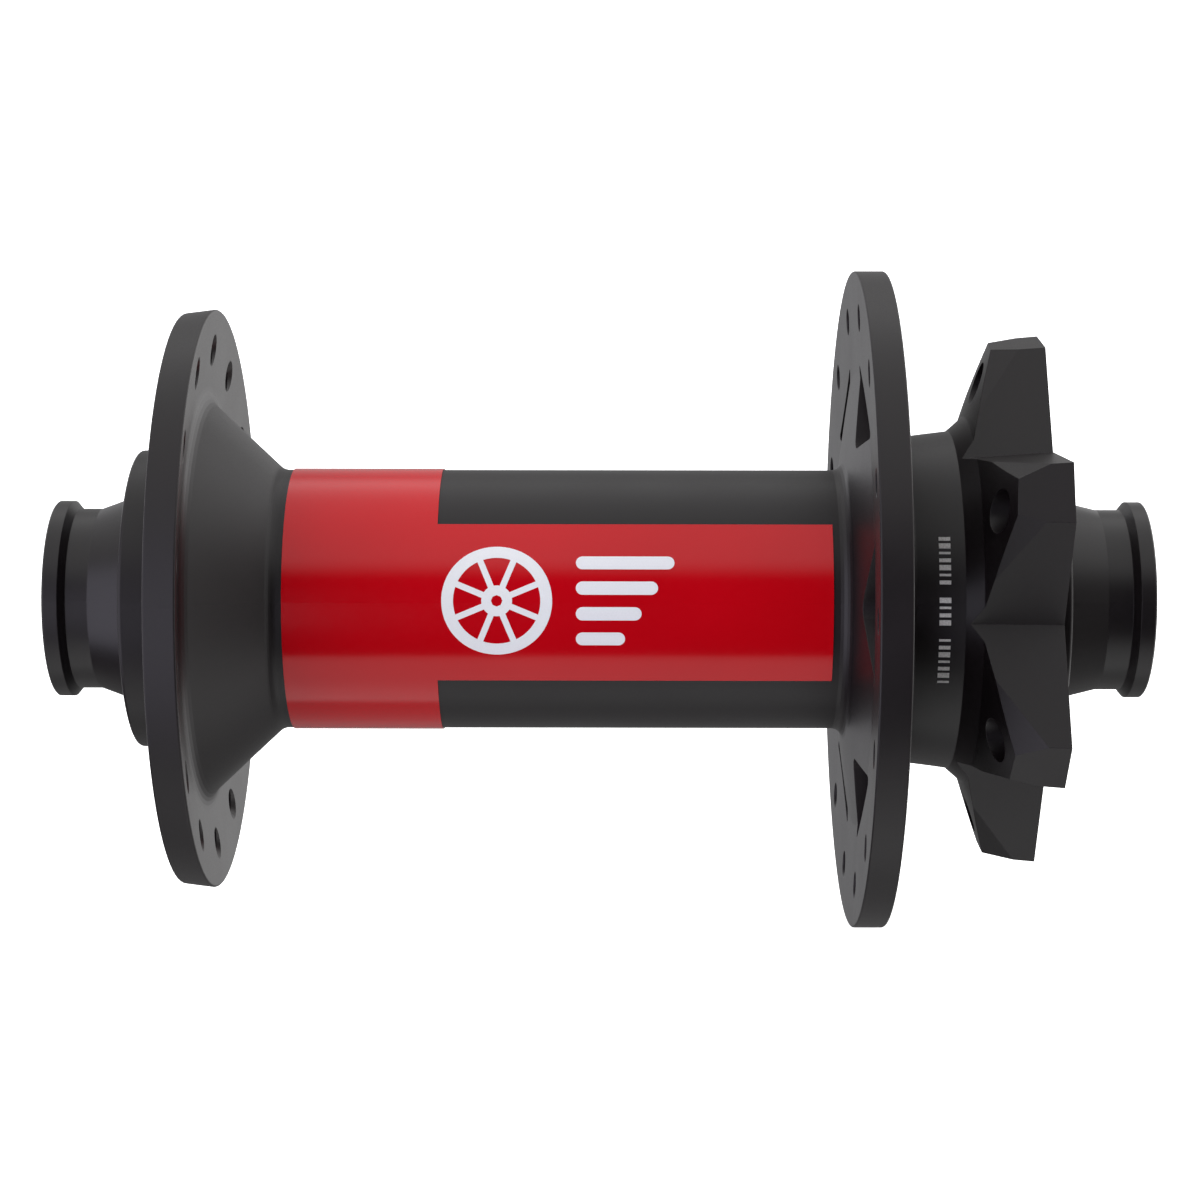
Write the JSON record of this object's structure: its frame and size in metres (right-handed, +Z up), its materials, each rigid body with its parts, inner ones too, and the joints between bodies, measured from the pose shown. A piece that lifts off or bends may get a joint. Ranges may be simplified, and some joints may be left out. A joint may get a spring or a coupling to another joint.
{
  "type": "bicycle front disc hub",
  "caption": "Front wheel hub with two J-bend spoke flanges, a star-shaped disc rotor mount and push-on end caps; the shell spins on cartridge bearings round a hollow axle.",
  "frame": {"origin": "on the wheel axis, midway between the two end faces that the fork clamps", "axes": "+Y along the wheel axis towards the rotor mount, +Z up, +X towards the side that carries the label's long tongue"},
  "size_m": [0.0666, 0.11, 0.0666],
  "materials": {
    "anodised_black": "satin black anodised, turned and milled",
    "anodised_black_cap": "satin black anodised, fine turned",
    "label_red": "glossy printed vinyl wrap",
    "bare_alloy": "bare turned aluminium",
    "bearing_steel": "ground bearing steel",
    "ball_steel": "polished bearing balls",
    "cage_nylon": "moulded nylon",
    "seal_rubber": "moulded nitrile seal",
    "rubber_ring": "nitrile O-ring, lightly greased"
  },
  "bodies": {
    "axle": {"axle_tube": "bare_alloy", "end_cap_rotor_side": "anodised_black_cap", "end_cap_plain_side": "anodised_black_cap", "o_ring_rotor_side": "rubber_ring", "o_ring_plain_side": "rubber_ring", "rotor_bearing_inner_ring": "bearing_steel", "plain_bearing_inner_ring": "bearing_steel"},
    "shell": {"hub_shell": "anodised_black", "label_wrap": "label_red", "rotor_bearing_outer_ring": "bearing_steel", "plain_bearing_outer_ring": "bearing_steel", "rotor_bearing_outer_seal": "seal_rubber", "rotor_bearing_inner_seal": "seal_rubber", "plain_bearing_outer_seal": "seal_rubber", "plain_bearing_inner_seal": "seal_rubber"},
    "rotor_side_balls": {"rotor_bearing_balls": "ball_steel", "rotor_bearing_cage": "cage_nylon"},
    "plain_side_balls": {"plain_bearing_balls": "ball_steel", "plain_bearing_cage": "cage_nylon"}
  },
  "joints": [
    {"name": "hub_spin", "type": "hinge", "parent": "axle", "child": "shell", "pos_m": [0, 0, 0], "axis": [0, 1, 0], "continuous": true},
    {"name": "rotor_side_cage_spin", "type": "hinge", "parent": "axle", "child": "rotor_side_balls", "pos_m": [0, 0.042, 0], "axis": [0, 1, 0], "continuous": true},
    {"name": "plain_side_cage_spin", "type": "hinge", "parent": "axle", "child": "plain_side_balls", "pos_m": [0, -0.0427, 0], "axis": [0, 1, 0], "continuous": true}
  ],
  "couplings": [
    {"joint": "rotor_side_cage_spin", "follows": "hub_spin", "ratio": 0.57056},
    {"joint": "plain_side_cage_spin", "follows": "hub_spin", "ratio": 0.57056}
  ]
}
